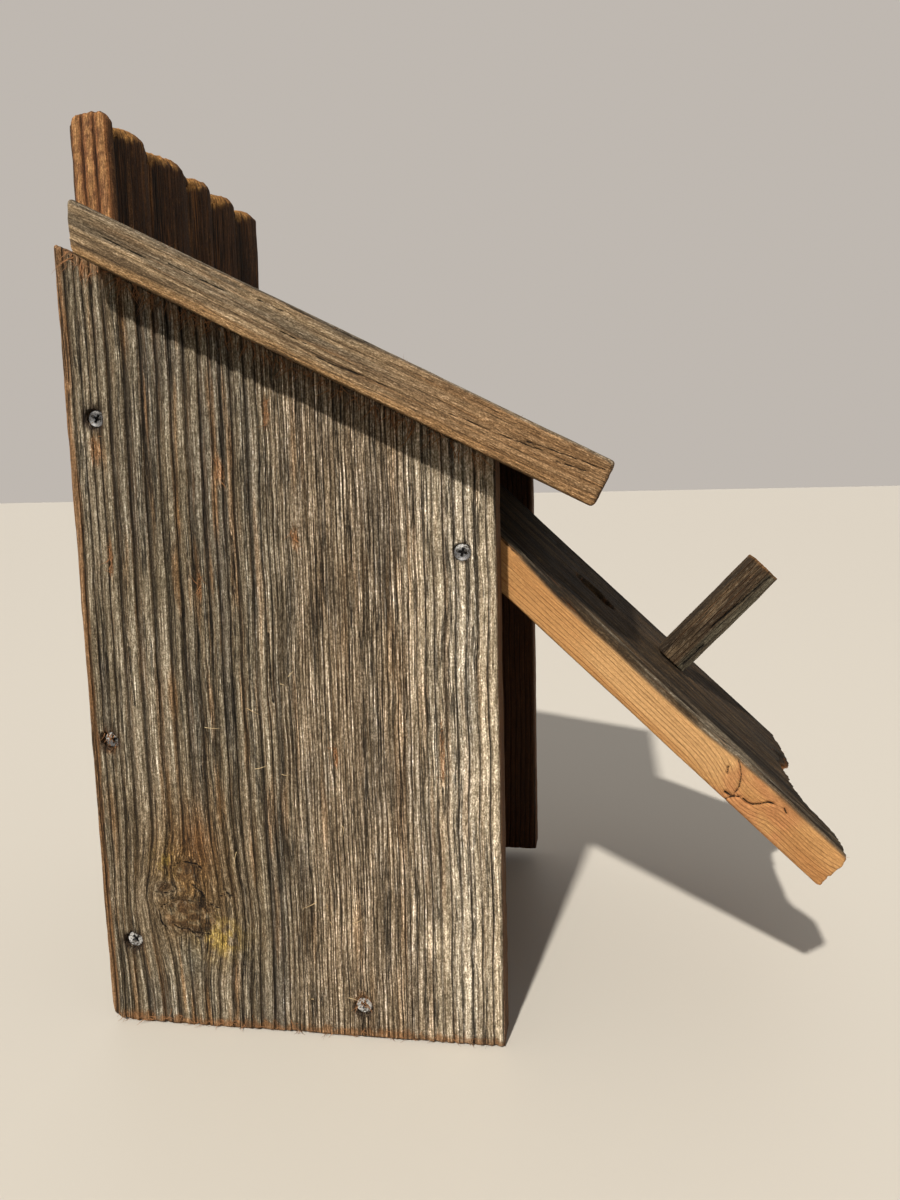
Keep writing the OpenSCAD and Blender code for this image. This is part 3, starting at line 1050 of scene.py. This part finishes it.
def door_side_tone(a, l, t):
    """Colour of the door's sawn edges."""
    red = band(l, 212, 244, 9) * smooth(fractal(126, l / 12, t / 6), 0.25, 0.6)
    brown = smooth(noise(127, l / 24), 0.4, 0.8) * (1 - smooth(t, 2.2, 5.0))
    return layered(
        (202, 156, 102), ((182, 132, 80), fractal(120, l / 40, t / 4)),
        ((210, 168, 116), band(l, 130, 200, 25) * band(t, 4, 16, 4) * 0.7),
        ((184, 124, 82), red * 0.6),
        ((170, 112, 64), smooth(l, 236, 262) * smooth(t, 9, 17) * 0.35),
        ((140, 98, 60), brown * 0.7),
        ((120, 100, 76), (1 - smooth(t - wane(a, l), 1.0, 2.2)) * 0.8))


def door_paint(p, s, ring, *_):
    a, l, t = p.T
    edge = (1 - smooth(np.minimum(a, DOOR_W - a), 1.0, 2.4)) * smooth(t - wane(a, l), 0.3, 1.3)
    near = 1 - smooth(a, 13, 24)
    worn = near * (0.35 + 0.5 * band(l, 80, 215, 30)) * smooth(noise(125, s / 2.2, l / 40), 0.3, 0.7)
    inner = layered((176, 132, 86), ((150, 104, 62), fractal(119, s / 15, l / 80)))
    end = smooth(l, DOOR_L - 9, DOOR_L - 3)
    # the front face's dark brown is partly painted shade
    tone = layered(
        (68, 53, 34), ((34, 26, 16), smooth(fractal(118, s / 5, l / 70), 0.35, 0.65)),
        ((118, 108, 92), worn), (inner, smooth(t, 3, 10)), (door_side_tone(a, l, t), edge),
        ((204, 136, 76), end * smooth(t, 1.5, 6) * 0.7 * (1 - edge)))
    on_edge = edge > 0.5
    lines = 0.25 + 0.75 * smooth(t + 3 * noise(134, l / 40), 7, 11)
    edge_s = edge_grain(l, t)
    return {
        "tone": tone, "bare": np.clip(1.2 * edge + smooth(t, 3, 8), 0, 1.2),
        "ring": np.where(on_edge, edge_s / 1.9 + 0.9 * noise(128, l / 60, t / 3), ring),
        "across": np.where(on_edge, edge_s, s), "crack": 1 - smooth(t, 1, 3),
        "lines": np.where(on_edge, lines, 1.0),
        "split": np.where(on_edge & (a < 30), 1.15 * line_distance(l, t, DOOR_SPLITS), 4.0)}


def end_root(r):
    """A point on the door's broken end."""
    a, t = r.uniform(2, DOOR_W - 2), r.uniform(1, BOARD_T - 1)
    return a, DOOR_L - float(broken(np.array([a]), np.array([t]))[0]) - 2.2, t


# Radius of the entrance beyond ENTRANCE_R at each depth: its rims are worn round
ENTRANCE_WEAR = [(2.6, -3), (0.5, 0.6), (0, 1.8), (0, 20.5), (0.4, 21.6), (2.6, 25)]
entrance = lathe([(0, -3), *((ENTRANCE_R + r, t) for r, t in ENTRANCE_WEAR), (0, 25)], 64, 0.02, 121)
perch_hole = hole_at(0, 0, 122)
door_cuts = [
    (entrance[0] + [*DOOR_ENTRANCE, 0], entrance[1]),
    (perch_hole[0] * [1, 1, -1] + [*DOOR_PERCH, BOARD_T], perch_hole[1])]
door_wood = wood(
    "door_wood", groove=0.55, fibre=0.75, checks=0.7, warm=0.1, pale=0.05, dark=(106, 64, 32),
    warm_tint=(190, 126, 70), rough=0.75, bump=0.6)
door_frame = SWING @ rigid([(1, 0, 0), (0, 0, -1), (0, 1, 0)], (-DOOR_W / 2, FRONT_Y, DOOR_TOP))
board(
    "front_door_wood", "front_door", "door", (DOOR_W, DOOR_L, BOARD_T),
    (1.0, [(194, 3.2), (240, 0.7), (DOOR_L, 1.4)], 0.55), 1.5,
    Grain(37, [(-60, 4), (0, 3.4), (30, 3.2), (60, 3.6), (120, 5), (205, 4), (420, 4)],
          [(160, 75, 9, 12, 0.5)]),
    door_relief, door_shape, door_paint, door_frame, door_wood, door_cuts)
spurs = tufts(
    "door_fibres", 150, end_root, lambda r: (0, 1, 0), 4.5, 0.28, 129,
    fibre_wood("fresh_fibres", (206, 140, 78), (150, 92, 50)), door_frame, 0.3)
finish_piece(spurs, "door", "door_wood")


# ---- perch
PERCH_SPLITS = [[(30, 11.4), (50, 12.8), (73, 14.6)], [(4, 15.2), (20, 15.6)]]


def perch_relief(q, n, s, ring, *_):
    a, l, t = q.T
    faces = 0.35 * ridge(ring) + 0.35 * fractal(131, s / 1.2, l / 12, t / 1.2)
    faces = faces + 0.4 * noise(132, l / 20, t / 9)
    return faces + gouge(line_distance(l, t, PERCH_SPLITS), 1.4, 0.7) * np.maximum(-n[:, 0], 0)


def perch_paint(p, s, *_):
    a, l, t = p.T
    pale = band(t, 4.5, 6.5, 1.5) * smooth(fractal(135, l / 14, t / 2), 0.35, 0.6)
    tone = layered(
        (80, 65, 47), ((56, 44, 31), smooth(fractal(133, t / 2.2, l / 40, a / 3), 0.35, 0.65)),
        ((136, 116, 90), pale * 0.5), ((84, 80, 66), smooth(t, 12, 13.6) * 0.8),
        ((136, 98, 58), smooth(l, PERCH_L - 2.5, PERCH_L - 0.5) * 0.7))
    near = np.where(a < 4, line_distance(l, t, PERCH_SPLITS), 4.0)
    return {"tone": tone, "across": np.where(a < 1.5, t, s), "split": near}


perch_wood = wood("perch_wood", groove=0.4, fibre=0.7, checks=0.5, warm=0.2, pale=0.15, dark=(34, 27, 19))
perch_frame = SWING @ rigid(
    [(1, 0, 0), (0, -1, 0), (0, 0, -1)],
    (-PERCH_W / 2, FRONT_Y, PERCH_Z + PERCH_W / 2))
board("perch_stick", "perch", "door", (PERCH_W, PERCH_L, PERCH_W), (0.55, 1.0, 0.55), 1.2,
      Grain(39, [(-60, 3), (0, 2.6), (20, 3.0), (420, 3)], tilt=0.8, wander=1.0), perch_relief, as_it_is,
      perch_paint, perch_frame, perch_wood)


# ---- screws
def recess_arm(turn):
    """Cutter for one arm of a cross recess, which narrows inwards, as points and faces."""
    c, s = math.cos(turn), math.sin(turn)
    corners = [(-1, -1), (1, -1), (1, 1), (-1, 1)]
    low = [(1.3 * x, 0.4 * y, 2.3) for x, y in corners]
    high = [(2.7 * x, 0.8 * y, -0.5) for x, y in corners]
    points = np.array([(x * c - y * s, x * s + y * c, z) for x, y, z in low + high])
    return points, [(0, 1, 2, 3), (7, 6, 5, 4), (0, 4, 5, 1), (1, 5, 6, 2), (2, 6, 7, 3), (3, 7, 4, 0)]


def screw_mesh(name, r, length):
    """Countersunk screw along +t from its flat face at t = 0, with a cross recess and a threaded shank."""
    cone = HEAD_R - r
    profile = [(0, 0.5), (2.5, 0.5), (3.55, 0.1), (3.95, 0.05), (HEAD_R, 0.35), (r * 0.82, cone + 0.3),
               (r * 0.8, cone + 6)]
    t = cone + 6
    while t < length - 5:
        profile += [(r * 0.72, t + 0.2), (r, t + 0.9), (r * 0.72, t + 1.5)]
        t += 1.8
    profile += [(r * 0.5, length - 2.5), (0, length)]
    obj = make_mesh(name, *lathe(profile, 36), zinc_material)
    obj.data.flip_normals()
    for turn in (0, math.pi / 2):
        cut(obj, [recess_arm(turn)])
    obj.data.set_sharp_from_angle(angle=math.radians(32))
    x, y, z = coords(obj).T
    # painted shade deep in the cross recess
    deep = smooth(z, 0.5, 1.4) * (z < 2.4) * (np.hypot(x, y) < 3.0 - 0.7 * z)
    dress(obj, {"recess_shade": 0.9 * deep})
    mesh = obj.data
    bpy.data.objects.remove(obj)
    return mesh


def put_screw(node, body, mesh, place, turn, extra=0.0):
    seat = Matrix.Translation((0, 0, (SINK + extra) * MM)) @ Matrix.Rotation(turn, 4, "Z")
    finish_piece(add_object(node + "_zinc", mesh, place @ seat), body, "screw_zinc", node)


def in_side(sign, a, z):
    """Frame of a hole in a side: its third axis points into the wood."""
    return rigid([(0, -1, 0), (0, 0, sign), (-sign, 0, 0)], (sign * OUTER_X, REAR_Y - a, z))


zinc_material = zinc()
wood_screw = screw_mesh("wood_screw", 2.0, 45.0)
pivot_screw = screw_mesh("pivot_screw", 2.2, 45.0)
perch_screw = screw_mesh("short_screw", 2.0, 40.0)
for side, sign in (("left", -1), ("right", 1)):
    for k, (at, deep) in enumerate(zip(BACK_SCREWS, SCREW_DEPTHS)):
        put_screw(f"back_screw_{side}_{k + 1}", "box", wood_screw, in_side(sign, *at), 0.5 + k, deep)
    put_screw(f"floor_screw_{side}", "box", wood_screw, in_side(sign, *FLOOR_SCREW), 1.9, SCREW_DEPTHS[3])
    put_screw(f"pivot_screw_{side}", "door", pivot_screw, in_side(sign, *PIVOT_SCREW), 0.25, PIVOT_DEPTH)
    for k, back_at in enumerate(ROOF_SCREWS):
        a, l = roof_cut(sign, back_at)
        at = roof_frame @ Matrix.Translation((a * MM, l * MM, 0))
        put_screw(f"roof_screw_{side}_{k + 1}", "box", wood_screw, at, 0.9 + k)
put_screw(
    "perch_screw", "door", perch_screw,
    SWING @ rigid([(1, 0, 0), (0, 0, 1), (0, -1, 0)], (0, FRONT_Y + BOARD_T, PERCH_Z)), 0.7)


# ---- floor, light and camera
FLOOR_NEAR = -900  # edge of the floor on the camera's side, in mm
FLOOR_FAR = 9000
CAMERA_AT = (-565.5, -154.7, 291.0)  # in mm: level with the roof's lower end, to the left of the box
CAMERA_LENS = 28.57
YAW, PITCH, ROLL = (math.radians(d) for d in (9.22, 8.04, -1.41))


def make_floor():
    g = new_material("pale_floor")
    g.feed(g.shader, {"Base Color": (0.60, 0.58, 0.535, 1), "Roughness": 0.45, "Specular IOR Level": 0.3})
    points = [(FLOOR_NEAR, -FLOOR_FAR, 0), (FLOOR_FAR, -FLOOR_FAR, 0), (FLOOR_FAR, FLOOR_FAR, 0),
              (FLOOR_NEAR, FLOOR_FAR, 0)]
    make_mesh("studio_floor", points, [(0, 1, 2, 3)], g.owner, False)


def make_light(name, kind, at, towards, strength, colour, **settings):
    """Light at a place, shining towards another."""
    data = bpy.data.lights.new(name, kind)
    data.energy = strength
    data.color = colour
    for key, value in settings.items():
        setattr(data, key, value)
    turn = (Vector(towards) - Vector(at)).to_track_quat("-Z", "Y").to_matrix().to_4x4()
    add_object(name, data, Matrix.Translation(at) @ turn)


def make_camera():
    forward = Vector((math.cos(PITCH) * math.cos(YAW), math.cos(PITCH) * math.sin(YAW), -math.sin(PITCH)))
    level = Vector((math.sin(YAW), -math.cos(YAW), 0))
    rise = level.cross(forward)
    right = level * math.cos(ROLL) + rise * math.sin(ROLL)
    up = rise * math.cos(ROLL) - level * math.sin(ROLL)
    data = bpy.data.cameras.new("camera")
    data.sensor_width = 36
    data.lens = CAMERA_LENS
    data.clip_start = 0.01
    bpy.context.scene.camera = add_object("camera", data, rigid((right, up, -forward), CAMERA_AT))


def make_world():
    """Even pale surroundings, brighter beyond the box than on the camera's side."""
    g = Nodes(bpy.data.worlds.new("studio"), "Background")
    x = g.add("SeparateXYZ", {0: g.add("TexCoord", {}, "Generated")}, "X")
    strength = g.ramp(x, -1.0, 0.7, 0.15, 0.52, "LINEAR")
    g.feed(g.shader, {"Color": (1.0, 0.92, 0.84, 1), "Strength": strength})
    bpy.context.scene.world = g.owner


make_floor()
make_light("key", "SUN", (0, 0, 0), (1.0, -0.15, -0.93), 4.4, (1.0, 0.93, 0.83), angle=math.radians(2.0))
make_light(
    "fill", "AREA", (-1.2, -1.8, 1.4), (0, -0.05, 0.22), 1.5, (0.95, 0.97, 1.0), shape="DISK",
    size=1.6)
make_world()
bpy.context.scene.view_settings.view_transform = "Standard"
make_camera()
